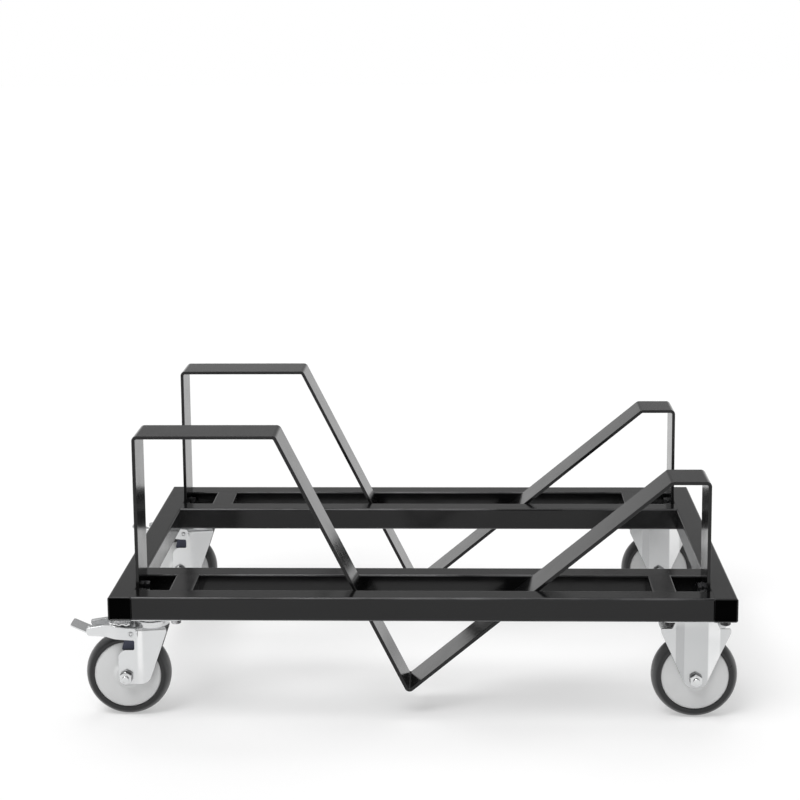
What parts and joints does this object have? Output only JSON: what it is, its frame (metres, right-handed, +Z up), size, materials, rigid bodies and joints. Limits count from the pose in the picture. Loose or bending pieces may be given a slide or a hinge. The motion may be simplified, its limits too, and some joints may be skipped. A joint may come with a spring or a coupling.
{
  "type": "stacking chair trolley",
  "caption": "Low welded tube trolley with bent flat-bar V cradles for a leaning stack of chairs, braked swivel casters at one end and fixed casters at the other.",
  "frame": {"origin": "on the floor under the middle of the overall box", "axes": "+X along the base from the braked swivel casters to the fixed casters, +Y from front to back, +Z up"},
  "size_m": [0.9714, 0.6, 0.42],
  "materials": {
    "powder_coat": "satin black powder coat",
    "plug": "moulded black plastic",
    "dark_screw": "black plated steel",
    "zinc": "bright zinc plate",
    "steel": "plain turned steel",
    "blued_spring_steel": "dark blued",
    "wheel_centre": "moulded light grey plastic",
    "tyre": "dark grey elastic rubber",
    "bush": "black plain bearing"
  },
  "bodies": {
    "frame": {"left_side_rail": "powder_coat", "right_side_rail": "powder_coat", "front_outer_rail": "powder_coat", "front_inner_rail": "powder_coat", "rear_inner_rail": "powder_coat", "rear_outer_rail": "powder_coat", "front_left_spacer": "powder_coat", "front_right_spacer": "powder_coat", "rear_left_spacer": "powder_coat", "rear_right_spacer": "powder_coat", "front_cradle_strap": "powder_coat", "rear_cradle_strap": "powder_coat", "end_plugs": "plug", "strap_screws": "dark_screw", "strap_washers": "dark_screw", "caster_screws": "dark_screw", "caster_washers": "dark_screw", "strap_inserts": "steel", "caster_inserts": "steel", "fixed_axle_sleeves": "steel", "kingpins": "steel", "swivel_balls": "steel", "front_right_fork": "zinc", "rear_right_fork": "zinc", "fixed_axle_bolts": "zinc", "fixed_axle_nuts": "zinc", "front_left_plate": "zinc", "rear_left_plate": "zinc"},
    "front_left_swivel": {"front_left_fork": "zinc", "front_left_axle_bolt": "zinc", "front_left_axle_nut": "zinc", "front_left_axle_sleeve": "steel", "front_left_brake_rivet": "zinc"},
    "front_left_brake": {"front_left_pedal": "zinc", "front_left_brake_shoe": "blued_spring_steel"},
    "front_left_roller": {"front_left_wheel": "wheel_centre", "front_left_tyre": "tyre", "front_left_bush": "bush"},
    "front_right_roller": {"front_right_wheel": "wheel_centre", "front_right_tyre": "tyre", "front_right_bush": "bush"},
    "rear_left_swivel": {"rear_left_fork": "zinc", "rear_left_axle_bolt": "zinc", "rear_left_axle_nut": "zinc", "rear_left_axle_sleeve": "steel", "rear_left_brake_rivet": "zinc"},
    "rear_left_brake": {"rear_left_pedal": "zinc", "rear_left_brake_shoe": "blued_spring_steel"},
    "rear_left_roller": {"rear_left_wheel": "wheel_centre", "rear_left_tyre": "tyre", "rear_left_bush": "bush"},
    "rear_right_roller": {"rear_right_wheel": "wheel_centre", "rear_right_tyre": "tyre", "rear_right_bush": "bush"}
  },
  "joints": [
    {"name": "front_left_swivel_turn", "type": "hinge", "parent": "frame", "child": "front_left_swivel", "pos_m": [-0.36675, -0.25, 0.14], "axis": [0, 0, 1], "continuous": true},
    {"name": "front_left_pedal_press", "type": "hinge", "parent": "front_left_swivel", "child": "front_left_brake", "pos_m": [-0.39375, -0.25, 0.1285], "axis": [0, -1, 0], "range_deg": [0, 8]},
    {"name": "front_left_wheel_spin", "type": "hinge", "parent": "front_left_swivel", "child": "front_left_roller", "pos_m": [-0.40275, -0.25, 0.0625], "axis": [0, 1, 0], "continuous": true},
    {"name": "front_right_wheel_spin", "type": "hinge", "parent": "frame", "child": "front_right_roller", "pos_m": [0.42325, -0.25, 0.0625], "axis": [0, 1, 0], "continuous": true},
    {"name": "rear_left_swivel_turn", "type": "hinge", "parent": "frame", "child": "rear_left_swivel", "pos_m": [-0.36675, 0.25, 0.14], "axis": [0, 0, 1], "continuous": true},
    {"name": "rear_left_pedal_press", "type": "hinge", "parent": "rear_left_swivel", "child": "rear_left_brake", "pos_m": [-0.39375, 0.25, 0.1285], "axis": [0, -1, 0], "range_deg": [0, 8]},
    {"name": "rear_left_wheel_spin", "type": "hinge", "parent": "rear_left_swivel", "child": "rear_left_roller", "pos_m": [-0.40275, 0.25, 0.0625], "axis": [0, 1, 0], "continuous": true},
    {"name": "rear_right_wheel_spin", "type": "hinge", "parent": "frame", "child": "rear_right_roller", "pos_m": [0.42325, 0.25, 0.0625], "axis": [0, 1, 0], "continuous": true}
  ]
}
